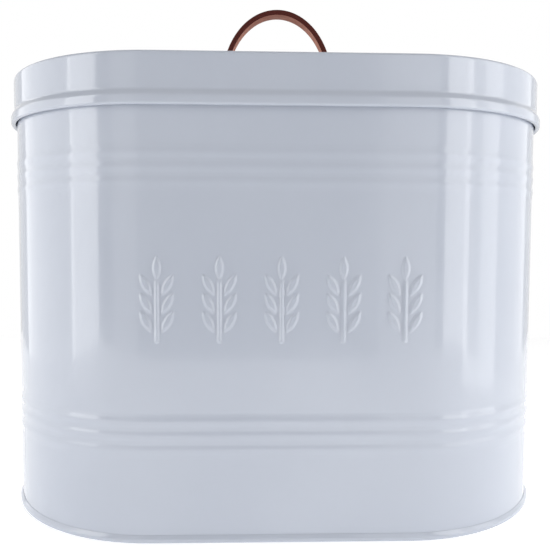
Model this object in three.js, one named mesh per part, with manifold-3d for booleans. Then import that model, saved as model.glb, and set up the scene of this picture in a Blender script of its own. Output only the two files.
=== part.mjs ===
// Oblong bread bin: a rolled sheet-steel body with a seamed base, a lift-off lid and a leather strap handle.
// Millimetres, +Z up, front towards -Y. The origin is the middle of the footprint, on the surface it stands on.

import * as THREE from "three";
import { mergeVertices } from "three/addons/utils/BufferGeometryUtils.js";
import Module from "manifold-3d";

// Driving dimensions. The plan is a straight stretch with a half circle at each end.
const BODY_WIDTH = 324;
const BODY_DEPTH = 189.2;
const LID_TOP = 252.7; // height of the lid's edge
const SHEET = 0.6; // steel with its enamel on both faces
const GAP = 0.3; // between pieces that touch
const END_RADIUS = BODY_DEPTH / 2;
const STRAIGHT = BODY_WIDTH - BODY_DEPTH;

// Base panel, which is folded round the foot of the wall.
const SEAM_HEIGHT = 3.8;
const SEAM_SHOULDER = 2; // above this the seam slopes in to the wall
const SEAM_PROUD = 1.4;
const SEAM_TIP = 0.3;
const PANEL_RECESS = 4.2;
const PANEL_BEND = 1.5;

// Body wall, with two bands of three raised beads and a curled top edge.
const WALL_BOTTOM = 1;
const BAND_HEIGHTS = [56, 194.7];
const BEADS_PER_BAND = 3;
const BEAD_PITCH = 7.4;
const BEAD_WIDTH = 4.6;
const BEAD_CREST = 1.4;
const BEAD_PROUD = 0.45;
const BAND_PROUD = 0.12;
const BAND_MARGIN = 1.6;
const CURL_RADIUS = 2.2;
const WALL_TOP = LID_TOP - SHEET - GAP;

// Relief on the front: a row of five wheat ears.
const RELIEF_HEIGHT = 0.8;
const RELIEF_ROOT = 0.3; // how far it reaches into the sheet
const EAR_COUNT = 5;
const EAR_SPACING = 32;
const EAR_BOTTOM = 105;
const STEM = { width: 2.2, length: 30 };
const GRAIN = { length: 13, width: 4.4, lean: 0.5, spread: 5.6 };
const GRAIN_HEIGHTS = [116, 125.5, 135];
const TOP_GRAIN_HEIGHT = 143.5;

// Lid shell, one drawn sheet.
const SKIRT_CLEARANCE = 0.9;
const SKIRT_BOTTOM = 225.4;
const LID_CORNER = 1.7;
const LID_STEP = 1.2; // the middle of the top stands this much above its edge
const LID_STEP_INSET = 14;
const LID_STEP_RUN = 2;
const RIM_PROUD = 1.9; // the rim band stands this far out from the skirt
const JOGGLE_TOP = 233.4;
const JOGGLE_RUN = 3.2;
const HEM_RADIUS = 1.4;
const HEM_LIP = 1.2;

// Handle: a leather strap bent into an arch, with a foot at each end.
const STRAP = { width: 9.6, thickness: 3.3 };
const ARCH_TOP = 306.2;
const ARCH_HALF_WIDTH = 35.7;
const FOOT_BEND = 4.5;
const FOOT_LENGTH = 15;
const SCREW_INSET = 8.5;

// Binding screws: a slotted screw from above in a flanged post from below, with a wide washer.
const HOLE_RADIUS = 2.3;
const POST = { barrel: 2, bore: 1.4, flange: 4.2, flangeHeight: 0.9 };
const WASHER = { radius: 7, thickness: 1 };
const SCREW = { head: 3.7, headHeight: 1.6, shank: 1.1, slotWidth: 0.8, slotDepth: 0.6 };

const LID_FACE = LID_TOP + LID_STEP;
const STRAP_UNDERSIDE = LID_FACE + GAP;
const STRAP_FACE = STRAP_UNDERSIDE + STRAP.thickness;

const enamel = new THREE.MeshStandardMaterial({ color: 0xe3e7ee, roughness: 0.22, metalness: 0 });
const leather = new THREE.MeshStandardMaterial({ color: 0x7d3f2b, roughness: 0.55, metalness: 0 });
const copper = new THREE.MeshStandardMaterial({ color: 0xb8704f, roughness: 0.3, metalness: 1 });
const steel = new THREE.MeshStandardMaterial({ color: 0xa9abad, roughness: 0.4, metalness: 1 });

const wasm = await Module();
wasm.setup();

// A closed three.js geometry as a manifold-3d solid.
function solidOf(geometry) {
  const bare = geometry.index ? geometry.toNonIndexed() : geometry.clone();
  bare.deleteAttribute("normal");
  bare.deleteAttribute("uv");
  const merged = mergeVertices(bare, 1e-4);
  return new wasm.Manifold(
    new wasm.Mesh({
      numProp: 3,
      vertProperties: new Float32Array(merged.attributes.position.array),
      triVerts: new Uint32Array(merged.index.array),
    }),
  );
}

function geometryOf(solid) {
  const mesh = solid.getMesh();
  const geometry = new THREE.BufferGeometry();
  geometry.setAttribute("position", new THREE.BufferAttribute(mesh.vertProperties, 3));
  geometry.setIndex(new THREE.BufferAttribute(mesh.triVerts, 1));
  return geometry;
}

function part(name, geometry, material) {
  const mesh = new THREE.Mesh(geometry, material);
  mesh.name = name;
  return mesh;
}

const point = (offset, height) => new THREE.Vector2(END_RADIUS + offset, height);

// Points on an arc about (offset, height), with angles in degrees from the outward direction.
function arc(offset, height, radius, from, to, steps) {
  return Array.from({ length: steps + 1 }, (_, i) => {
    const angle = THREE.MathUtils.degToRad(from + ((to - from) * i) / steps);
    return point(offset + radius * Math.cos(angle), height + radius * Math.sin(angle));
  });
}

// A lathed profile pulled apart along X by the straight stretch. The facets touch the true outline.
const PLAN_SEGMENTS = 40;
function oblong(profile) {
  const step = (2 * Math.PI) / PLAN_SEGMENTS;
  const points = profile.map((p) => new THREE.Vector2(p.x / Math.cos(step / 2), p.y));
  const geometry = new THREE.LatheGeometry(points, PLAN_SEGMENTS, step / 2);
  const position = geometry.attributes.position;
  for (let i = 0; i < position.count; i++) {
    const turn = step / 2 + Math.floor(i / points.length) * step;
    position.setX(i, position.getX(i) + (Math.sign(Math.sin(turn)) * STRAIGHT) / 2);
  }
  return geometry.rotateX(Math.PI / 2);
}

// Points of the beaded wall's face, at a given offset from the plain wall, from the bottom up.
function beadedFace(offset) {
  const points = [point(offset, WALL_BOTTOM)];
  for (const middle of BAND_HEIGHTS) {
    const reach = ((BEADS_PER_BAND - 1) * BEAD_PITCH + BEAD_WIDTH) / 2 + BAND_MARGIN;
    points.push(point(offset, middle - reach));
    for (let i = 0; i < BEADS_PER_BAND; i++) {
      const centre = middle + (i - (BEADS_PER_BAND - 1) / 2) * BEAD_PITCH;
      points.push(
        point(offset + BAND_PROUD, centre - BEAD_WIDTH / 2),
        point(offset + BEAD_PROUD, centre - BEAD_CREST / 2),
        point(offset + BEAD_PROUD, centre + BEAD_CREST / 2),
        point(offset + BAND_PROUD, centre + BEAD_WIDTH / 2),
      );
    }
    points.push(point(offset, middle + reach));
  }
  return points;
}

// One wheat ear as flat shapes in X and Z, about its own centre line.
function earShapes() {
  const stem = new THREE.Shape();
  stem.moveTo(-STEM.width / 2, EAR_BOTTOM);
  stem.lineTo(STEM.width / 2, EAR_BOTTOM);
  stem.lineTo(STEM.width / 2, EAR_BOTTOM + STEM.length);
  stem.lineTo(-STEM.width / 2, EAR_BOTTOM + STEM.length);
  stem.closePath();
  const shapes = [stem, grain(0, TOP_GRAIN_HEIGHT, 0)];
  for (const height of GRAIN_HEIGHTS) {
    shapes.push(grain(GRAIN.spread, height, -GRAIN.lean), grain(-GRAIN.spread, height, GRAIN.lean));
  }
  return shapes;
}

// A pointed oval, turned by an angle about its centre.
function grain(x, z, turn) {
  const centre = new THREE.Vector2(x, z);
  const origin = new THREE.Vector2();
  const place = (across, along) => {
    const spot = new THREE.Vector2(across, along);
    return spot.rotateAround(origin, turn).add(centre);
  };
  const [foot, tip] = [place(0, -GRAIN.length / 2), place(0, GRAIN.length / 2)];
  const [right, left] = [place(GRAIN.width, 0), place(-GRAIN.width, 0)];
  const shape = new THREE.Shape();
  shape.moveTo(foot.x, foot.y);
  shape.quadraticCurveTo(right.x, right.y, tip.x, tip.y);
  shape.quadraticCurveTo(left.x, left.y, foot.x, foot.y);
  return shape;
}

function bodyWall() {
  const curlInner = CURL_RADIUS - SHEET;
  const curl = [-CURL_RADIUS, WALL_TOP - CURL_RADIUS];
  const profile = [
    ...beadedFace(0),
    ...arc(...curl, CURL_RADIUS, 0, 260, 6),
    ...arc(...curl, curlInner, 260, 0, 6),
    ...beadedFace(-SHEET).reverse(),
  ];
  profile.push(profile[0].clone());
  let wall = solidOf(oblong(profile));
  for (let i = 0; i < EAR_COUNT; i++) {
    const x = (i - (EAR_COUNT - 1) / 2) * EAR_SPACING;
    for (const shape of earShapes()) {
      const depth = RELIEF_HEIGHT + RELIEF_ROOT;
      const raised = new THREE.ExtrudeGeometry(shape, { depth, bevelEnabled: false, curveSegments: 4 });
      raised.rotateX(Math.PI / 2).translate(x, RELIEF_ROOT - END_RADIUS, 0);
      wall = wall.add(solidOf(raised));
    }
  }
  return part("body_wall", geometryOf(wall), enamel);
}

function basePanel() {
  const face = PANEL_RECESS + SHEET;
  const legOuter = -SHEET - GAP;
  const legInner = legOuter - SHEET;
  const bendHeight = PANEL_RECESS - PANEL_BEND;
  const profile = [
    new THREE.Vector2(0, PANEL_RECESS),
    ...arc(legInner - PANEL_BEND, bendHeight, PANEL_BEND, 90, 0, 3),
    point(legInner, SHEET / 2),
    point(legInner + SHEET / 2, 0),
    point(SEAM_PROUD - SHEET / 2, 0),
    point(SEAM_PROUD, SHEET / 2),
    point(SEAM_PROUD, SEAM_SHOULDER),
    point(GAP + SEAM_TIP, SEAM_HEIGHT),
    point(GAP, SEAM_HEIGHT),
    point(GAP, SHEET),
    point(legOuter, SHEET),
    ...arc(legInner - PANEL_BEND, bendHeight, PANEL_BEND + SHEET, 0, 90, 3),
    new THREE.Vector2(0, face),
  ];
  return part("base_panel", oblong(profile), enamel);
}

// Where a screw stands, on each side of the middle.
const SCREW_X = ARCH_HALF_WIDTH - STRAP.thickness / 2 + FOOT_BEND + SCREW_INSET;

function lidShell() {
  const inner = SKIRT_CLEARANCE;
  const outer = inner + SHEET;
  const rimOuter = outer + RIM_PROUD;
  const rimInner = rimOuter - SHEET;
  const cornerHeight = LID_TOP - LID_CORNER;
  const hem = [rimOuter - HEM_RADIUS, SKIRT_BOTTOM + HEM_RADIUS];
  const hemInner = HEM_RADIUS - SHEET;
  const joggleBottom = JOGGLE_TOP - JOGGLE_RUN;
  const profile = [
    new THREE.Vector2(0, LID_FACE - SHEET),
    point(-LID_STEP_INSET, LID_FACE - SHEET),
    point(-LID_STEP_INSET + LID_STEP_RUN, LID_TOP - SHEET),
    ...arc(outer - LID_CORNER, cornerHeight, LID_CORNER - SHEET, 90, 0, 3),
    point(inner, JOGGLE_TOP - SHEET / 2),
    point(rimInner, joggleBottom - SHEET / 2),
    ...arc(...hem, hemInner, 0, -180, 4),
    point(hem[0] - hemInner, hem[1] + HEM_LIP),
    point(hem[0] - HEM_RADIUS, hem[1] + HEM_LIP),
    ...arc(...hem, HEM_RADIUS, -180, 0, 6),
    point(rimOuter, joggleBottom),
    point(outer, JOGGLE_TOP),
    ...arc(outer - LID_CORNER, cornerHeight, LID_CORNER, 0, 90, 3),
    point(-LID_STEP_INSET + LID_STEP_RUN, LID_TOP),
    point(-LID_STEP_INSET, LID_FACE),
    new THREE.Vector2(0, LID_FACE),
  ];
  let shell = solidOf(oblong(profile));
  for (const side of [-1, 1]) shell = shell.subtract(uprightHole(side * SCREW_X, LID_TOP));
  return part("lid_shell", geometryOf(shell), enamel);
}

// A cutter for a screw's hole through the sheet or the strap.
function uprightHole(x, height) {
  const cutter = new THREE.CylinderGeometry(HOLE_RADIUS, HOLE_RADIUS, 12, 20);
  return solidOf(cutter.rotateX(Math.PI / 2).translate(x, 0, height));
}

// The strap seen from the front: one face of it, at a given distance out from its middle line.
function strapFace(out) {
  const halfWidth = ARCH_HALF_WIDTH - STRAP.thickness / 2;
  const footHeight = STRAP_UNDERSIDE + STRAP.thickness / 2;
  const springHeight = footHeight + FOOT_BEND;
  const rise = ARCH_TOP - STRAP.thickness / 2 - springHeight;
  const bendX = halfWidth + FOOT_BEND;
  const right = [new THREE.Vector2(bendX + FOOT_LENGTH, footHeight + out)];
  for (let i = 0; i <= 4; i++) {
    const angle = -Math.PI / 2 - (i / 4) * (Math.PI / 2);
    const radius = FOOT_BEND - out;
    right.push(new THREE.Vector2(bendX + radius * Math.cos(angle), springHeight + radius * Math.sin(angle)));
  }
  const ARCH_STEPS = 28;
  const arch = [];
  for (let i = 1; i < ARCH_STEPS; i++) {
    const angle = (Math.PI * i) / ARCH_STEPS;
    const normal = new THREE.Vector2(rise * Math.cos(angle), halfWidth * Math.sin(angle)).normalize();
    const centre = new THREE.Vector2(halfWidth * Math.cos(angle), springHeight + rise * Math.sin(angle));
    arch.push(centre.addScaledVector(normal, out));
  }
  const left = right.map((p) => new THREE.Vector2(-p.x, p.y)).reverse();
  return [...right, ...arch, ...left];
}

function handleStrap() {
  const half = STRAP.thickness / 2;
  const outline = new THREE.Shape([...strapFace(half), ...strapFace(-half).reverse()]);
  const ribbon = new THREE.ExtrudeGeometry(outline, { depth: STRAP.width, bevelEnabled: false });
  ribbon.rotateX(Math.PI / 2).translate(0, STRAP.width / 2, 0);
  const reach = ARCH_HALF_WIDTH - half + FOOT_BEND + FOOT_LENGTH;
  const plan = new THREE.Shape();
  plan.absarc(reach - STRAP.width / 2, 0, STRAP.width / 2, -Math.PI / 2, Math.PI / 2);
  plan.absarc(STRAP.width / 2 - reach, 0, STRAP.width / 2, Math.PI / 2, (3 * Math.PI) / 2);
  const envelope = new THREE.ExtrudeGeometry(plan, { depth: ARCH_TOP, bevelEnabled: false, curveSegments: 10 });
  envelope.translate(0, 0, STRAP.thickness);
  let strap = solidOf(ribbon).intersect(solidOf(envelope));
  for (const side of [-1, 1]) strap = strap.subtract(uprightHole(side * SCREW_X, STRAP_FACE));
  return part("handle_strap", geometryOf(strap), leather);
}

// Round pieces stand on the screw's own axis, so their profiles are lathed and turned upright.
const TURNS = 20;
const ring = (profile) =>
  new THREE.LatheGeometry(
    profile.map(([r, z]) => new THREE.Vector2(r, z)),
    TURNS,
  ).rotateX(Math.PI / 2);

function screwSet(side, label) {
  const washerFace = LID_FACE - SHEET - GAP;
  const flangeFace = washerFace - WASHER.thickness - GAP;
  const flangeBottom = flangeFace - POST.flangeHeight;
  const barrelTop = STRAP_FACE - GAP;
  const headBottom = STRAP_FACE + GAP;
  const washer = ring([
    [HOLE_RADIUS, washerFace - WASHER.thickness],
    [WASHER.radius, washerFace - WASHER.thickness],
    [WASHER.radius, washerFace],
    [HOLE_RADIUS, washerFace],
    [HOLE_RADIUS, washerFace - WASHER.thickness],
  ]);
  const post = ring([
    [0, flangeBottom],
    [POST.flange, flangeBottom],
    [POST.flange, flangeFace],
    [POST.barrel, flangeFace],
    [POST.barrel, barrelTop],
    [POST.bore, barrelTop],
    [POST.bore, flangeFace],
    [0, flangeFace],
  ]);
  const crown = [90, 65, 40, 15, 0].map((degrees) => {
    const angle = THREE.MathUtils.degToRad(degrees);
    return [SCREW.head * Math.cos(angle), headBottom + 0.4 + (SCREW.headHeight - 0.4) * Math.sin(angle)];
  });
  const blank = ring([
    [0, flangeFace + GAP],
    [SCREW.shank, flangeFace + GAP],
    [SCREW.shank, headBottom],
    [SCREW.head, headBottom],
    ...crown.reverse(),
  ]);
  const slot = new THREE.BoxGeometry(SCREW.head * 3, SCREW.slotWidth, SCREW.slotDepth * 2);
  slot.translate(0, 0, headBottom + SCREW.headHeight);
  const screw = geometryOf(solidOf(blank).subtract(solidOf(slot)));
  const set = new THREE.Group();
  set.position.x = side * SCREW_X;
  set.add(
    part("handle_washer_" + label, washer, steel),
    part("handle_post_" + label, post, copper),
    part("handle_screw_" + label, screw, copper),
  );
  return set;
}

const lid = new THREE.Group();
lid.add(lidShell(), handleStrap(), screwSet(-1, "left"), screwSet(1, "right"));

const bin = new THREE.Group();
bin.add(bodyWall(), basePanel(), lid);

export default bin;
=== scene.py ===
"""Looks for an oblong bread bin: coated sheet steel, a lift-off lid and a leather strap handle.

Lengths in the shape functions are in millimetres and are turned into metres when a mesh is made.
A plan position is given by u, the way round the outline from the middle of the front towards the right.
"""

import math

import bmesh
import bpy
import numpy as np
from mathutils import Matrix, Vector


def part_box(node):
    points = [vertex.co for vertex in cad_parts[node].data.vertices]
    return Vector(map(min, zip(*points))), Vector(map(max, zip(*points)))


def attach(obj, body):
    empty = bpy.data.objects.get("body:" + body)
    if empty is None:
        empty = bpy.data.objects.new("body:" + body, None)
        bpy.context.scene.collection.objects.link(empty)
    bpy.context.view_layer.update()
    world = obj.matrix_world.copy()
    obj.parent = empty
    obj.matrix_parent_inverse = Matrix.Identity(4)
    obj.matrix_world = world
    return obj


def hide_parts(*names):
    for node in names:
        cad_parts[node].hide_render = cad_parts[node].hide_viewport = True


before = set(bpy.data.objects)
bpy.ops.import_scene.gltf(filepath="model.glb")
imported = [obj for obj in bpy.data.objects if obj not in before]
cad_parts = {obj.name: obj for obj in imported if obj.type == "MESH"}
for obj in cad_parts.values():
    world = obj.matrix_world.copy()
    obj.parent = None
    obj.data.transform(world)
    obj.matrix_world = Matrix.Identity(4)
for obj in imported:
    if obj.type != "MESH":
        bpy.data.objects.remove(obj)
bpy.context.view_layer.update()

MM = 0.001

# Sizes that the frame gives.
wall_low, wall_high = (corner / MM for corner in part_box("body_wall"))
lid_low, lid_high = (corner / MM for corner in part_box("lid_shell"))
strap_low, strap_high = (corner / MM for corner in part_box("handle_strap"))
screw_low, screw_high = (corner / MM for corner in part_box("handle_screw_right"))

# Sizes shared with the part's source.
SHEET = 0.6
BEAD_PROUD = 0.45
BAND_PROUD = 0.12
END_RADIUS = wall_high.y - BEAD_PROUD
HALF_STRAIGHT = wall_high.x - wall_high.y
BAND_HEIGHTS = (56.0, 194.7)
BEAD_PITCH = 7.4
BEAD_HALF_HEIGHT = 3.1
BAND_HALF_HEIGHT = 12.2
BAND_HALF_FLAT = 10.2
WALL_BOTTOM = wall_low.z
WALL_TOP = wall_high.z
LID_FACE = lid_high.z
LID_STEP = 1.2
LID_TOP = LID_FACE - LID_STEP
SCREW_X = (screw_low.x + screw_high.x) / 2
STRAP_THICKNESS = 3.3
STRAP_WIDTH = strap_high.y - strap_low.y
STRAP_FACE = strap_low.z + STRAP_THICKNESS
ARCH_HALF_WIDTH = 35.7
HOLE_RADIUS = 2.3

PERIMETER = 4 * HALF_STRAIGHT + 2 * math.pi * END_RADIUS
END_LENGTH = math.pi * END_RADIUS

# Edges steeper than these, in degrees, are shaded sharp.
SHARP_ANGLE = 60
CUT_SHARP_ANGLE = 40


# ---------------------------------------------------------------- meshes


def make_piece(name, vertices, faces, body, node, material):
    """A smooth-shaded piece from points in millimetres, riding on a CAD body in place of a CAD node."""
    mesh = bpy.data.meshes.new(name)
    mesh.from_pydata((np.asarray(vertices) * MM).tolist(), [], faces)
    mesh.validate()
    work = bmesh.new()
    work.from_mesh(mesh)
    bmesh.ops.remove_doubles(work, verts=work.verts, dist=1e-7)
    work.to_mesh(mesh)
    work.free()
    mesh.shade_smooth()
    mesh.set_sharp_from_angle(angle=math.radians(SHARP_ANGLE))
    mesh.materials.append(material)
    piece = bpy.data.objects.new(name, mesh)
    bpy.context.scene.collection.objects.link(piece)
    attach(piece, body)
    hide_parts(node)
    return piece


def cut(piece, vertices, faces):
    """Takes a closed solid, in millimetres, out of a piece."""
    mesh = bpy.data.meshes.new("cutter")
    mesh.from_pydata((np.asarray(vertices) * MM).tolist(), [], faces)
    cutter = bpy.data.objects.new("cutter", mesh)
    bpy.context.scene.collection.objects.link(cutter)
    boolean = piece.modifiers.new("cut", "BOOLEAN")
    boolean.operation = "DIFFERENCE"
    boolean.solver = "EXACT"
    boolean.object = cutter
    graph = bpy.context.evaluated_depsgraph_get()
    result = bpy.data.meshes.new_from_object(piece.evaluated_get(graph), depsgraph=graph)
    piece.modifiers.clear()
    piece.data = result
    bpy.data.objects.remove(cutter)
    result.set_sharp_from_angle(angle=math.radians(CUT_SHARP_ANGLE))


def cylinder(x, y, radius, low, high):
    """Points and faces of an upright closed cylinder."""
    sides = 48
    turn = np.linspace(0, 2 * np.pi, sides, endpoint=False)
    ring = np.column_stack([x + radius * np.cos(turn), y + radius * np.sin(turn)])
    points = np.vstack([np.column_stack([ring, np.full(sides, z)]) for z in (low, high)])
    faces = [list(range(sides))[::-1], list(range(sides, 2 * sides))]
    for i in range(sides):
        j = (i + 1) % sides
        faces.append([i, j, sides + j, sides + i])
    return points, faces


def box(low, high):
    """Points and faces of a closed box."""
    (x0, y0, z0), (x1, y1, z1) = low, high
    points = [(x, y, z) for z in (z0, z1) for y in (y0, y1) for x in (x0, x1)]
    faces = [[0, 2, 3, 1], [4, 5, 7, 6], [0, 1, 5, 4], [2, 6, 7, 3], [0, 4, 6, 2], [1, 3, 7, 5]]
    return points, faces


def rounded(corners, steps=5, support=0.35):
    """A profile with rounded corners. A corner is (offset, height, radius), and a corner with
    no radius is kept as it is. A straight stretch gets a point near each end, so that its
    shading stays flat."""
    points = []
    for i, (x, z, radius) in enumerate(corners):
        here = np.array([x, z], float)
        if radius == 0 or i in (0, len(corners) - 1):
            points.append(here)
            continue
        before = np.array(corners[i - 1][:2], float) - here
        after = np.array(corners[i + 1][:2], float) - here
        to_before = before / np.linalg.norm(before)
        to_after = after / np.linalg.norm(after)
        half = math.acos(float(np.clip(to_before @ to_after, -1, 1))) / 2
        shortest = min(np.linalg.norm(before), np.linalg.norm(after))
        reach = min(radius / math.tan(half), 0.49 * shortest)
        radius = reach * math.tan(half)
        middle = (to_before + to_after) / np.linalg.norm(to_before + to_after)
        centre = here + middle * radius / math.sin(half)
        start = here + to_before * reach - centre
        end = here + to_after * reach - centre
        sweep = math.atan2(start[0] * end[1] - start[1] * end[0], start @ end)
        if np.linalg.norm(before) - reach > 3 * support:
            points.append(here + to_before * (reach + support))
        for k in range(steps + 1):
            angle = sweep * k / steps
            c, s = math.cos(angle), math.sin(angle)
            turned = [c * start[0] - s * start[1], s * start[0] + c * start[1]]
            points.append(centre + np.array(turned))
        if np.linalg.norm(after) - reach > 3 * support:
            points.append(here + to_after * (reach + support))
    return points


def arc(x, z, radius, start, end, steps):
    """Profile points on an arc, with angles in degrees from the outward direction."""
    turn = np.radians(np.linspace(start, end, steps + 1))
    return list(np.column_stack([x + radius * np.cos(turn), z + radius * np.sin(turn)]))


# ---------------------------------------------------------------- oblong pieces


def about_front(u):
    """The same places, as distances from the middle of the front, negative towards the left."""
    return np.mod(np.asarray(u, float) + PERIMETER / 2, PERIMETER) - PERIMETER / 2


def plan(u):
    """The centre line point and the outward direction at each place round the outline."""
    u = np.mod(np.asarray(u, float) + HALF_STRAIGHT, PERIMETER)
    centre = np.zeros((len(u), 2))
    outward = np.zeros((len(u), 2))
    first = 2 * HALF_STRAIGHT
    second = first + END_LENGTH
    third = second + 2 * HALF_STRAIGHT
    front = u <= first
    centre[front, 0] = u[front] - HALF_STRAIGHT
    outward[front] = (0, -1)
    right = (u > first) & (u < second)
    turn = (u[right] - first) / END_RADIUS
    centre[right, 0] = HALF_STRAIGHT
    outward[right] = np.column_stack([np.sin(turn), -np.cos(turn)])
    back = (u >= second) & (u <= third)
    centre[back, 0] = HALF_STRAIGHT - (u[back] - second)
    outward[back] = (0, 1)
    left = u > third
    turn = (u[left] - third) / END_RADIUS
    centre[left, 0] = -HALF_STRAIGHT
    outward[left] = np.column_stack([-np.sin(turn), np.cos(turn)])
    return centre, outward


def outline_columns(end_steps, straight_steps):
    """Places round the outline, with the same steps along the front as along the back."""
    straight = np.linspace(-HALF_STRAIGHT, HALF_STRAIGHT, straight_steps + 1)
    end = np.linspace(0, END_LENGTH, end_steps + 1)[1:-1]
    right = HALF_STRAIGHT + end
    back = HALF_STRAIGHT + END_LENGTH + (straight + HALF_STRAIGHT)
    left = back[-1] + end
    return np.concatenate([straight, right, back, left])


def oblong(profile, columns, closed, fine_columns=None, fine_rows=(), lift=None):
    """A profile of (offset from the wall's plain face, height) run round the outline.
    Rows listed in fine_rows also use the fine columns. lift(u, height, row) moves the points
    of every row outward."""
    profile = np.asarray(profile, float)
    coarse = np.unique(np.round(about_front(columns), 6))
    every = coarse
    if fine_columns is not None:
        every = np.union1d(coarse, np.round(about_front(fine_columns), 6))
    is_coarse = np.isin(every, coarse)
    fine_rows = set(fine_rows)
    rows = []
    vertices = []
    count = 0
    for j, (offset, height) in enumerate(profile):
        keep = np.ones(len(every), bool) if j in fine_rows else is_coarse
        u = every[keep]
        centre, outward = plan(u)
        radius = np.full(len(u), max(0.0, END_RADIUS + offset))
        if lift is not None:
            radius = radius + lift(u, height, j)
        points = np.column_stack([centre + outward * radius[:, None], np.full(len(u), height)])
        index = np.full(len(every), -1)
        index[keep] = count + np.arange(len(u))
        count += len(u)
        rows.append((index, j in fine_rows))
        vertices.append(points)
    faces = []
    total = len(every)
    stops = np.flatnonzero(is_coarse)
    pairs = [(j, j + 1) for j in range(len(rows) - 1)]
    if closed:
        pairs.append((len(rows) - 1, 0))
    for a, b in pairs:
        (low, low_fine), (high, high_fine) = rows[a], rows[b]
        if low_fine == high_fine:
            low, high = low[low >= 0], high[high >= 0]
            quads = np.column_stack([low, np.roll(low, -1), np.roll(high, -1), high])
            faces += quads.tolist()
            continue
        for k, start in enumerate(stops):
            end = stops[(k + 1) % len(stops)]
            span = np.arange(start, end + 1 if end > start else end + 1 + total) % total
            under = [int(low[i]) for i in span if low[i] >= 0]
            over = [int(high[i]) for i in span if high[i] >= 0]
            faces.append(under + over[::-1])
    return np.vstack(vertices), faces


# ---------------------------------------------------------------- body wall

EARS_EACH_SIDE = 2
EAR_SPACING = 32.0
EAR_HALF_WIDTH = 11.4
EAR_BOTTOM = 105.0
STEM_WIDTH = 2.2
STEM_LENGTH = 30.0
GRAIN_LENGTH = 13.0
GRAIN_HALF_WIDTH = 2.3
GRAIN_LEAN = 0.5
GRAIN_SPREAD = 5.6
GRAIN_HEIGHTS = (116.0, 125.5, 135.0)
TOP_GRAIN_HEIGHT = 143.5
RELIEF_HEIGHT = 0.85
RELIEF_LOW, RELIEF_HIGH = 103.0, 152.0  # the stretch of the wall that holds the ears
CREASE_DEPTH = 0.14
FINE_STEP = 0.57
BEAD_ROW_STEP = 0.64


def smooth(low, high, value):
    """0 below low, 1 above high, and smooth between them. With low above high, it falls instead."""
    t = np.clip((value - low) / (high - low), 0, 1)
    return t * t * (3 - 2 * t)


def grain_height(x, z, centre_x, centre_z, lean):
    """A pressed grain: a pointed oval with a rounded face and a shallow crease."""
    c, s = math.cos(lean), math.sin(lean)
    across = c * (x - centre_x) + s * (z - centre_z)
    along = -s * (x - centre_x) + c * (z - centre_z)
    half = GRAIN_HALF_WIDTH * np.clip(1 - (2 * along / GRAIN_LENGTH) ** 2, 0, None)
    rise = smooth(-0.2, 1.25, half - np.abs(across))
    crease = CREASE_DEPTH * np.exp(-((across / 0.45) ** 2)) * smooth(0.6, 1.8, half)
    return np.where(half > 0, rise - crease, 0)


def ears(u, z):
    """Height of the relief, from 0 to 1, at places along the front."""
    x = about_front(u)
    ear = np.round(x / EAR_SPACING)
    x = x - EAR_SPACING * np.clip(ear, -EARS_EACH_SIDE, EARS_EACH_SIDE)
    stem_top = EAR_BOTTOM + STEM_LENGTH
    stem = smooth(-0.25, 0.75, STEM_WIDTH / 2 - np.abs(x))
    stem = stem * smooth(EAR_BOTTOM - 0.3, EAR_BOTTOM + 0.8, z) * smooth(stem_top + 4, stem_top, z)
    height = np.maximum(stem, grain_height(x, z, 0, TOP_GRAIN_HEIGHT, 0))
    for level in GRAIN_HEIGHTS:
        height = np.maximum(height, grain_height(x, z, GRAIN_SPREAD, level, -GRAIN_LEAN))
        height = np.maximum(height, grain_height(x, z, -GRAIN_SPREAD, level, GRAIN_LEAN))
    return height


def in_relief(z):
    return RELIEF_LOW < z < RELIEF_HIGH


def bead_offset(z):
    """How far the beads and the bands under them stand out from the plain wall."""
    offset = 0.0
    for middle in BAND_HEIGHTS:
        rise = smooth(middle - BAND_HALF_HEIGHT, middle - BAND_HALF_FLAT, z)
        fall = smooth(middle + BAND_HALF_HEIGHT, middle + BAND_HALF_FLAT, z)
        offset += BAND_PROUD * (rise * fall)
        for i in (-1, 0, 1):
            t = np.clip((z - middle - i * BEAD_PITCH) / BEAD_HALF_HEIGHT, -1, 1)
            offset += (BEAD_PROUD - BAND_PROUD) * (0.5 + 0.5 * math.cos(math.pi * t)) ** 0.85
    return float(offset)


def wall_levels():
    """Heights of the wall's rows: close together on the beads and the relief."""
    levels = [WALL_BOTTOM, WALL_BOTTOM + 0.5, 8.0, 20.0, 32.0]
    for middle in BAND_HEIGHTS:
        levels += list(np.arange(middle - 12.8, middle + 12.81, BEAD_ROW_STEP))
    levels += [75.0, 90.0, 100.0, 162.0, 174.0, 214.0, 226.0, 238.0]
    levels += list(np.linspace(RELIEF_LOW + 0.6, RELIEF_HIGH - 0.8, 86))
    return sorted(levels)


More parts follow.
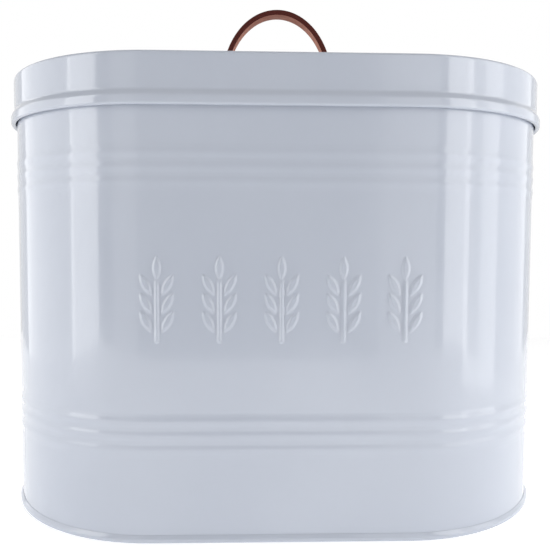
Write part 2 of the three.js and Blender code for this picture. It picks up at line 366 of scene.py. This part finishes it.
def make_body_wall(material):
    """The rolled wall, with its beads, its relief, a lock seam at the back and a curled top edge."""
    curl = 2.2
    seam_edge = 3.3
    groove_depth, groove_width, joint_depth = 0.32, 0.35, 0.75
    inside_relief = 0.9
    levels = wall_levels()
    outer = [(bead_offset(z), z) for z in levels]
    top = WALL_TOP - curl
    profile = outer + arc(-curl, top, curl, 0, 262, 16) + arc(-curl, top, curl - SHEET, 262, 0, 14)
    inner_start = len(profile)
    inner_levels = [z for z in levels if not in_relief(z)]
    inner_levels += list(np.linspace(RELIEF_LOW + 1, RELIEF_HIGH - 1, 32))
    inner_levels = sorted(inner_levels, reverse=True)
    profile += [(bead_offset(z) - SHEET, z) for z in inner_levels]
    fine_rows = [j for j, z in enumerate(levels) if in_relief(z)]
    columns = outline_columns(76, 24)
    seam_centre = PERIMETER / 2
    columns = columns[np.abs(columns - seam_centre) > 6]
    seam = seam_centre + np.array([-6, -4.4, -3.6, -3.3, -3.0, -2.2, 0, 2.2, 3.0, 3.3, 3.6, 4.4, 6])
    columns = np.concatenate([columns, seam])
    ear_columns = np.arange(-EAR_HALF_WIDTH, EAR_HALF_WIDTH + 0.01, FINE_STEP)
    ears_along = range(-EARS_EACH_SIDE, EARS_EACH_SIDE + 1)
    fine = np.concatenate([ear_columns + k * EAR_SPACING for k in ears_along])

    def lift(u, z, row):
        inside = row >= inner_start
        relief = RELIEF_HEIGHT * ears(u, z) if in_relief(z) else np.zeros(len(u))
        if inside:
            relief = relief * inside_relief
        across = np.mod(u, PERIMETER) - seam_centre
        straight = smooth(WALL_BOTTOM, WALL_BOTTOM + 0.1, z) * smooth(top, top - 6, z)
        joint = smooth(3.7, 3.2, np.abs(across))
        groove = np.exp(-(((across - seam_edge) / groove_width) ** 2))
        if inside:
            return relief - joint_depth * joint * straight
        return relief - groove_depth * groove * straight

    vertices, faces = oblong(profile, columns, True, fine, fine_rows, lift)
    return make_piece("bin_wall", vertices, faces, "bin", "body_wall", material)


def make_base(material):
    """The base panel, folded round the foot of the wall."""
    proud, shoulder, height, recess, bend = 1.4, 2.0, 3.8, 4.2, 1.5
    leg_outer = -SHEET - 0.05
    leg_inner = leg_outer - SHEET
    corners = [
        (-END_RADIUS, recess, 0),
        (leg_inner, recess, bend),
        (leg_inner, 0.0, 0.45),
        (proud, 0.0, 0.5),
        (proud, shoulder, 1.6),
        (0.16, height, 0.05),
        (0.04, height, 0.03),
        (0.04, SHEET, 0.05),
        (leg_outer, SHEET, 0.05),
        (leg_outer, recess + SHEET, bend + SHEET),
        (-END_RADIUS, recess + SHEET, 0),
    ]
    columns = outline_columns(84, 20)
    vertices, faces = oblong(rounded(corners), columns, False)
    return make_piece("bin_base", vertices, faces, "bin", "base_panel", material)


def make_lid(material):
    """The drawn lid: a raised middle, a rounded shoulder, a skirt, and a rim with a rolled hem."""
    inner, outer = 0.9, 1.5
    rim_outer = outer + 1.9
    rim_inner = rim_outer - SHEET
    joggle_low, joggle_high = 230.2, 233.4
    joggle_low_inside, joggle_high_inside = 229.8, 233.0
    step_inner, step_outer = -14.0, -12.0
    hem = 1.4
    hem_x, hem_z = rim_outer - hem, lid_low.z + hem
    under = [
        (-END_RADIUS, LID_FACE - SHEET, 0),
        (step_inner, LID_FACE - SHEET, 2.0),
        (step_outer, LID_TOP - SHEET, 2.0),
        (inner, LID_TOP - SHEET, 1.1),
        (inner, joggle_high_inside, 1.6),
        (rim_inner, joggle_low_inside, 1.6),
        (rim_inner, hem_z + 0.3, 0),
    ]
    over = [
        (rim_outer, hem_z + 0.3, 0),
        (rim_outer, joggle_low, 3.2),
        (outer, joggle_high, 3.2),
        (outer, LID_TOP, 1.7),
        (step_outer, LID_TOP, 2.0),
        (step_inner, LID_FACE, 2.0),
        (-END_RADIUS, LID_FACE, 0),
    ]
    profile = rounded(under, 6)
    profile += arc(hem_x, hem_z, hem - SHEET, 0, -250, 14)
    profile += arc(hem_x, hem_z, hem, -250, 0, 20)
    profile += rounded(over, 8)
    columns = outline_columns(96, 20)
    vertices, faces = oblong(profile, columns, False)
    piece = make_piece("lid_shell_fine", vertices, faces, "lid", "lid_shell", material)
    for side in (-1, 1):
        cut(piece, *cylinder(side * SCREW_X, 0, HOLE_RADIUS, LID_FACE - 6, LID_FACE + 6))
    return piece


# ---------------------------------------------------------------- handle


def strap_centre_line():
    """The strap's middle line in X and Z, from the right-hand foot's end to the left-hand one's."""
    half = STRAP_THICKNESS / 2
    half_width = ARCH_HALF_WIDTH - half
    bend = 4.5
    foot_drop = 0.27
    foot_z = strap_low.z - foot_drop + half
    spring_z = foot_z + bend
    rise = strap_high.z - half - spring_z
    right = [np.array([strap_high.x, foot_z])]
    turn = np.linspace(-np.pi / 2, -np.pi, 24)
    bend_x = half_width + bend
    right += [np.array([bend_x + bend * math.cos(a), spring_z + bend * math.sin(a)]) for a in turn]
    over = np.linspace(0, np.pi, 181)[1:-1]
    arch = [np.array([half_width * math.cos(a), spring_z + rise * math.sin(a)]) for a in over]
    left = [np.array([-p[0], p[1]]) for p in right][::-1]
    return np.array(right + arch + left)


def make_strap(grain_side, flesh_side):
    """A leather strap with rounded ends and edges, a crease along each side, and a dimple
    under each screw."""
    line = strap_centre_line()
    step = np.linalg.norm(np.diff(line, axis=0), axis=1)
    way = np.concatenate([[0], np.cumsum(step)])
    half_length = way[-1] / 2
    half_width = STRAP_WIDTH / 2
    half_thick = STRAP_THICKNESS / 2
    edge = 0.75
    crease_depth, crease_inset, crease_width = 0.16, 1.9, 0.28
    dimple_depth, dimple_radius = 0.14, 4.3
    slope = np.gradient(line, way, axis=0)
    slope /= np.linalg.norm(slope, axis=1)[:, None]
    normal = np.column_stack([slope[:, 1], -slope[:, 0]])

    # The cross-section as (inset from the outline, height, share of the width), right round.
    corner = np.radians(np.linspace(0, 90, 7))
    across = np.linspace(-1, 1, 41)
    ring = [(edge, half_thick, s) for s in across]
    leaving = [(edge * (1 - math.sin(a)), half_thick - edge * (1 - math.cos(a))) for a in corner]
    arriving = [(edge * (1 - math.cos(a)), half_thick - edge * (1 - math.sin(a))) for a in corner]
    ring += [(x, z, 1.0) for x, z in leaving[1:]]
    ring += [(x, -z, 1.0) for x, z in arriving]
    ring += [(edge, -half_thick, s) for s in across[::-1][1:]]
    ring += [(x, -z, -1.0) for x, z in leaving[1:]]
    ring += [(x, z, -1.0) for x, z in arriving[:-1]]
    inset, level, share = (np.array(column) for column in zip(*ring))

    straight = half_length - half_width
    stations = [(-straight, -a) for a in np.linspace(90, 6, 15)]
    stations += [(s, 0.0) for s in np.linspace(-straight, straight, 190)]
    stations += [(straight, a) for a in np.linspace(6, 90, 15)]
    screw_way = half_length - (strap_high.x - SCREW_X)
    vertices = []
    for start, degrees in stations:
        angle = math.radians(degrees)
        reach = half_width - inset
        s = start + reach * math.sin(angle)
        y = share * reach * math.cos(angle)
        t = level.copy()
        top = level > half_thick - 0.01
        from_crease = (half_width - np.abs(y)) - crease_inset
        from_screw = np.hypot(np.abs(s) - screw_way, y)
        crease = crease_depth * np.exp(-(from_crease / crease_width) ** 2) * top
        dimple = dimple_depth * np.exp(-(from_screw / dimple_radius) ** 6) * top
        t = t - crease * smooth(89.9, 75, abs(degrees)) - dimple
        place = s + half_length
        x = np.interp(place, way, line[:, 0]) + t * np.interp(place, way, normal[:, 0])
        z = np.interp(place, way, line[:, 1]) + t * np.interp(place, way, normal[:, 1])
        vertices.append(np.column_stack([x, y, z]))
    ring_size = len(ring)
    faces = []
    for i in range(len(stations) - 1):
        here, following = i * ring_size, (i + 1) * ring_size
        for k in range(ring_size):
            n = (k + 1) % ring_size
            faces.append([here + k, here + n, following + n, following + k])
    points = np.vstack(vertices)
    piece = make_piece("handle_strap_fine", points, faces, "lid", "handle_strap", grain_side)
    piece.data.materials.append(flesh_side)
    for face in piece.data.polygons:
        x, z = face.center.x / MM, face.center.z / MM
        nearest = np.argmin(np.hypot(line[:, 0] - x, line[:, 1] - z))
        if face.normal.x * normal[nearest, 0] + face.normal.z * normal[nearest, 1] < -0.8:
            face.material_index = 1
    for side in (-1, 1):
        cut(piece, *cylinder(side * SCREW_X, 0, HOLE_RADIUS, strap_low.z - 3, STRAP_FACE + 3))
    return piece


def lathe(profile, x):
    """Points and faces of a profile of (radius, height) turned about an upright axis."""
    sides = 72
    turn = np.linspace(0, 2 * np.pi, sides, endpoint=False)
    points = []
    for radius, height in profile:
        across, along = radius * np.cos(turn), radius * np.sin(turn)
        points.append(np.column_stack([x + across, along, np.full(sides, height)]))
    faces = []
    for j in range(len(profile) - 1):
        low = j * sides + np.arange(sides)
        high = low + sides
        faces += np.column_stack([low, np.roll(low, -1), np.roll(high, -1), high]).tolist()
    return np.vstack(points), faces


def make_fixings(side, label, copper, steel):
    """A slotted screw through the strap, its flanged post inside the lid, and a wide washer."""
    washer_radius, washer_thickness = 7.0, 1.0
    flange, flange_height, barrel, bore = 4.2, 1.15, 2.0, 1.4
    head, shank = 3.7, 1.1
    x = side * SCREW_X
    washer_top = LID_FACE - SHEET - 0.02
    washer = rounded([
        (HOLE_RADIUS, washer_top - washer_thickness / 2, 0),
        (HOLE_RADIUS, washer_top - washer_thickness, 0.2),
        (washer_radius, washer_top - washer_thickness, 0.25),
        (washer_radius, washer_top, 0.25),
        (HOLE_RADIUS, washer_top, 0.2),
        (HOLE_RADIUS, washer_top - washer_thickness / 2, 0),
    ], 4, 0.2)
    points, faces = lathe(washer, x)
    make_piece("washer_" + label, points, faces, "lid", "handle_washer_" + label, steel)

    flange_top = washer_top - 1.02
    post = rounded([
        (0, flange_top - flange_height, 0),
        (flange, flange_top - flange_height, 0.5),
        (flange, flange_top, 0.2),
        (barrel, flange_top, 0.1),
        (barrel, STRAP_FACE - 0.6, 0.2),
        (bore, STRAP_FACE - 0.6, 0.1),
        (bore, flange_top, 0),
        (0, flange_top, 0),
    ], 5, 0.2)
    points, faces = lathe(post, x)
    piece = make_piece("post_" + label, points, faces, "lid", "handle_post_" + label, copper)
    cut(piece, *box((x - 9, -0.5, flange_top - 3), (x + 9, 0.5, flange_top - 0.75)))

    head_low = STRAP_FACE - 0.4
    dome = np.radians(np.linspace(0, 90, 22))
    crown = [(head * math.cos(a), head_low + 0.5 + 1.35 * math.sin(a)) for a in dome]
    screw = rounded([
        (0, flange_top + 0.3, 0),
        (shank, flange_top + 0.3, 0.2),
        (shank, head_low, 0.05),
        (head, head_low, 0.2),
        (head, head_low + 0.45, 0),
    ], 4, 0.2) + [np.array(p) for p in crown]
    points, faces = lathe(screw, x)
    piece = make_piece("screw_" + label, points, faces, "lid", "handle_screw_" + label, copper)
    head_top = head_low + 1.85
    cut(piece, *box((x - 9, -0.4, head_top - 0.65), (x + 9, 0.4, head_top + 3)))


# ---------------------------------------------------------------- materials


def set_range(node, low, high, to_low, to_high):
    """Sets what a Map Range node takes in and gives out."""
    values = {"From Min": low, "From Max": high, "To Min": to_low, "To Max": to_high}
    for key, number in values.items():
        node.inputs[key].default_value = number


class Nodes:
    """Builds a node material step by step."""

    def __init__(self, name):
        self.material = bpy.data.materials.new(name)
        self.material.use_nodes = True
        self.tree = self.material.node_tree
        self.shader = self.tree.nodes["Principled BSDF"]
        self.coordinates = self.add("ShaderNodeTexCoord").outputs["Object"]

    def add(self, kind, **settings):
        node = self.tree.nodes.new(kind)
        for key, value in settings.items():
            setattr(node, key, value)
        return node

    def link(self, source, target):
        self.tree.links.new(source, target)

    def put(self, socket, value):
        if isinstance(value, bpy.types.NodeSocket):
            self.link(value, socket)
        else:
            socket.default_value = value

    def noise(self, scale, detail=2.0, roughness=0.5, vector=None):
        node = self.add("ShaderNodeTexNoise")
        node.inputs["Scale"].default_value = scale
        node.inputs["Detail"].default_value = detail
        node.inputs["Roughness"].default_value = roughness
        self.link(vector or self.coordinates, node.inputs["Vector"])
        return node.outputs["Fac"]

    def cells(self, scale):
        node = self.add("ShaderNodeTexVoronoi")
        node.inputs["Scale"].default_value = scale
        self.link(self.coordinates, node.inputs["Vector"])
        return node.outputs["Distance"]

    def stretch(self, factors):
        node = self.add("ShaderNodeMapping")
        node.inputs["Scale"].default_value = factors
        self.link(self.coordinates, node.inputs["Vector"])
        return node.outputs["Vector"]

    def axis(self, name):
        node = self.add("ShaderNodeSeparateXYZ")
        self.link(self.coordinates, node.inputs["Vector"])
        return node.outputs[name]

    def remap(self, value, low, high, to_low=0.0, to_high=1.0):
        node = self.add("ShaderNodeMapRange", interpolation_type="SMOOTHSTEP")
        self.link(value, node.inputs["Value"])
        set_range(node, low, high, to_low, to_high)
        return node.outputs["Result"]

    def math(self, operation, a, b=0.0):
        node = self.add("ShaderNodeMath", operation=operation)
        self.put(node.inputs[0], a)
        self.put(node.inputs[1], b)
        return node.outputs["Value"]

    def mix(self, factor, a, b):
        node = self.add("ShaderNodeMix", data_type="RGBA")
        self.put(node.inputs["Factor"], factor)
        self.put(node.inputs["A"], a)
        self.put(node.inputs["B"], b)
        return node.outputs["Result"]

    def bump(self, height, distance, strength=1.0, below=None):
        node = self.add("ShaderNodeBump")
        node.inputs["Distance"].default_value = distance
        node.inputs["Strength"].default_value = strength
        self.link(height, node.inputs["Height"])
        if below is not None:
            self.link(below, node.inputs["Normal"])
        return node.outputs["Normal"]

    def finish(self, color, roughness, normal, **constants):
        self.link(color, self.shader.inputs["Base Color"])
        self.link(roughness, self.shader.inputs["Roughness"])
        self.link(normal, self.shader.inputs["Normal"])
        for key, value in constants.items():
            self.shader.inputs[key.replace("_", " ")].default_value = value
        return self.material


def enamel_material():
    """Pale cool white gloss coating, with a faint orange-peel surface and slow waves in the sheet."""
    n = Nodes("enamel_coating")
    cloud = n.remap(n.noise(9.0, 3.0), 0.35, 0.65)
    color = n.mix(cloud, (0.502, 0.538, 0.617, 1), (0.522, 0.558, 0.636, 1))
    fleck = n.remap(n.noise(1400.0, 1.0), 0.70, 0.78, 0.0, 0.25)
    color = n.mix(fleck, color, (0.50, 0.54, 0.62, 1))
    rough = n.remap(n.noise(45.0, 4.0, 0.6), 0.3, 0.7, 0.11, 0.19)
    slow = n.bump(n.noise(16.0, 1.0), 0.00045)
    peel = n.bump(n.noise(420.0, 2.0), 0.000012, 1.0, slow)
    return n.finish(color, rough, peel, Coat_Weight=0.6, Coat_Roughness=0.04, Specular_IOR_Level=0.5)


def leather_material(name, dark, light, pore, edge_color):
    """Strap leather: fine grain, creases, and a burnished colour along the cut edges."""
    n = Nodes(name)
    y = n.math("ABSOLUTE", n.axis("Y"))
    edge_start, edge_full = 0.0043, 0.0047
    edge = n.remap(y, edge_start, edge_full)
    cloud = n.remap(n.noise(55.0, 5.0, 0.62), 0.3, 0.7)
    base = n.mix(cloud, dark, light)
    pores = n.remap(n.noise(2600.0, 2.0), 0.56, 0.68, 0.0, 0.5)
    base = n.mix(pores, base, pore)
    base = n.mix(edge, base, edge_color)
    rough = n.remap(n.noise(300.0, 3.0), 0.3, 0.7, 0.5, 0.7)
    wrinkle = n.bump(n.noise(260.0, 3.0, 0.6, n.stretch((1.0, 0.35, 1.0))), 0.00016)
    grain = n.bump(n.cells(1500.0), 0.00006, 0.8, wrinkle)
    return n.finish(base, rough, grain, Specular_IOR_Level=0.25)


def copper_material():
    """Copper-coloured plating, slightly worn."""
    n = Nodes("copper_plating")
    tarnish = n.remap(n.noise(220.0, 4.0, 0.6), 0.35, 0.7)
    color = n.mix(tarnish, (0.78, 0.42, 0.28, 1), (0.56, 0.27, 0.17, 1))
    rough = n.remap(n.noise(500.0, 3.0), 0.3, 0.7, 0.2, 0.36)
    scratch = n.bump(n.noise(900.0, 2.0, 0.5, n.stretch((1.0, 6.0, 1.0))), 0.00001)
    return n.finish(color, rough, scratch, Metallic=1.0)


def zinc_material():
    """Zinc-plated steel."""
    n = Nodes("zinc_plating")
    spangle = n.remap(n.cells(380.0), 0.1, 0.7)
    color = n.mix(spangle, (0.60, 0.61, 0.62, 1), (0.46, 0.47, 0.48, 1))
    rough = n.remap(n.noise(600.0, 2.0), 0.3, 0.7, 0.3, 0.46)
    fine = n.bump(n.noise(1500.0, 2.0), 0.00001)
    return n.finish(color, rough, fine, Metallic=1.0)


# ---------------------------------------------------------------- camera, light and floor

AIM = Vector((0, 0, 0.13))
FRONT_GLOW = 0.14  # how bright the surround is, as seen by the bin
SIDE_GLOW = 0.18
BACK_GLOW = 0.62  # added towards the back
TOP_GLOW = 0.2  # added towards the top
UNDER_GLOW = 0.15  # below the floor's level
FLOOR_GLOW = 0.42
FLOOR_HALF = 0.6
FLOOR_DROP = 0.0002  # keeps the floor just clear of the bin's foot


def make_camera():
    """Stands in front of the bin, slightly to the left of and above its middle, and looks
    down a little."""
    yaw, pitch, roll = 0.0299, 0.0536, 0.0046
    data = bpy.data.cameras.new("camera")
    data.sensor_width = 36.0
    data.lens = 40.7127
    data.clip_start = 0.01
    camera = bpy.data.objects.new("camera", data)
    bpy.context.scene.collection.objects.link(camera)
    turned = Matrix.Rotation(-yaw, 4, "Z")
    place = turned @ Vector((-0.00072, -0.41330, 0.15712))
    look = Matrix.Rotation(math.pi / 2 - pitch, 4, "X") @ Matrix.Rotation(roll, 4, "Z")
    camera.matrix_world = Matrix.Translation(place) @ turned @ look
    bpy.context.scene.camera = camera


def area_light(name, azimuth, elevation, distance, width, height, power):
    """A white rectangular light aimed at the bin. Azimuth is from the front towards the right,
    in degrees, distances are in metres and power is in watts."""
    data = bpy.data.lights.new(name, "AREA")
    data.shape = "RECTANGLE"
    data.size = width
    data.size_y = height
    data.energy = power
    light = bpy.data.objects.new(name, data)
    bpy.context.scene.collection.objects.link(light)
    a, e = math.radians(azimuth), math.radians(elevation)
    way = Vector((math.sin(a) * math.cos(e), -math.cos(a) * math.cos(e), math.sin(e)))
    light.location = AIM + way * distance
    light.rotation_euler = way.to_track_quat("Z", "Y").to_euler()
    light.visible_camera = False


def make_surround():
    """A white surround. The camera sees it at full brightness, and the bin sees it dimmer,
    more so in front than towards the back and the top."""
    world = bpy.data.worlds.new("studio")
    bpy.context.scene.world = world
    world.use_nodes = True
    tree = world.node_tree
    background = tree.nodes["Background"]
    coordinates = tree.nodes.new("ShaderNodeTexCoord")
    axes = tree.nodes.new("ShaderNodeSeparateXYZ")
    tree.links.new(coordinates.outputs["Generated"], axes.inputs["Vector"])

    def ramp(axis, low, high, to_low, to_high):
        node = tree.nodes.new("ShaderNodeMapRange")
        node.interpolation_type = "SMOOTHSTEP"
        tree.links.new(axes.outputs[axis], node.inputs["Value"])
        set_range(node, low, high, to_low, to_high)
        return node.outputs["Result"]

    def mix(factor, a, b):
        node = tree.nodes.new("ShaderNodeMix")
        node.data_type = "FLOAT"
        tree.links.new(factor, node.inputs["Factor"])
        for socket, value in (("A", a), ("B", b)):
            if isinstance(value, float):
                node.inputs[socket].default_value = value
            else:
                tree.links.new(value, node.inputs[socket])
        return node.outputs["Result"]

    def total(a, b):
        node = tree.nodes.new("ShaderNodeMath")
        node.operation = "ADD"
        tree.links.new(a, node.inputs[0])
        tree.links.new(b, node.inputs[1])
        return node.outputs["Value"]

    around = ramp("Y", -1.0, 0.15, FRONT_GLOW, SIDE_GLOW)
    above = ramp("Z", -0.03, 0.03, 0.0, 1.0)
    around = mix(above, UNDER_GLOW, around)
    around = total(around, ramp("Y", 0.25, 0.8, 0.0, BACK_GLOW))
    around = total(around, ramp("Z", 0.2, 0.9, 0.0, TOP_GLOW))
    seen = tree.nodes.new("ShaderNodeLightPath").outputs["Is Camera Ray"]
    tree.links.new(mix(seen, around, 1.0), background.inputs["Strength"])
    background.inputs["Color"].default_value = (1, 1, 1, 1)


def make_studio():
    """A white floor and surround, with tall light panels at both sides."""
    bpy.context.scene.view_settings.view_transform = "Standard"
    make_surround()
    area_light("panel_left", -57, 0, 0.85, 0.30, 1.4, 3.6)
    area_light("panel_left_inner", -29, 0, 0.87, 0.24, 1.4, 0.5)
    area_light("panel_right", 47, 0, 0.85, 0.26, 1.4, 2.85)
    area_light("panel_right_inner", 23, 0, 0.87, 0.30, 1.4, 0.9)
    area_light("panel_right_near", 64, 0, 0.5, 0.22, 1.0, 0.9)
    area_light("panel_right_far", 92, 0, 1.0, 1.0, 1.4, 4.1)
    area_light("panel_left_far", -92, 0, 1.0, 1.0, 1.4, 5.6)
    area_light("overhead", 180, 75, 1.3, 1.4, 1.0, 0.8)

    mesh = bpy.data.meshes.new("floor")
    corners = [(-1, -1), (1, -1), (1, 1), (-1, 1)]
    mesh.from_pydata([(x * FLOOR_HALF, y * FLOOR_HALF, 0) for x, y in corners], [], [[0, 1, 2, 3]])
    floor = bpy.data.objects.new("floor", mesh)
    bpy.context.scene.collection.objects.link(floor)
    floor.location.z = -FLOOR_DROP
    paint = bpy.data.materials.new("floor_white")
    paint.use_nodes = True
    shader = paint.node_tree.nodes["Principled BSDF"]
    shader.inputs["Base Color"].default_value = (0.9, 0.9, 0.9, 1)
    shader.inputs["Roughness"].default_value = 0.8
    shader.inputs["Emission Color"].default_value = (1, 1, 1, 1)
    shader.inputs["Emission Strength"].default_value = FLOOR_GLOW
    mesh.materials.append(paint)


make_camera()
make_studio()
enamel = enamel_material()
edge_brown = (0.088, 0.014, 0.009, 1)
grain_side = leather_material(
    "strap_grain_side",
    dark=(0.125, 0.032, 0.018, 1),
    light=(0.215, 0.068, 0.040, 1),
    pore=(0.07, 0.02, 0.01, 1),
    edge_color=edge_brown,
)
flesh_side = leather_material(
    "strap_flesh_side",
    dark=(0.46, 0.17, 0.11, 1),
    light=(0.60, 0.26, 0.18, 1),
    pore=(0.30, 0.12, 0.08, 1),
    edge_color=edge_brown,
)
copper = copper_material()
zinc = zinc_material()
make_body_wall(enamel)
make_base(enamel)
make_lid(enamel)
make_strap(grain_side, flesh_side)
make_fixings(-1, "left", copper, zinc)
make_fixings(1, "right", copper, zinc)
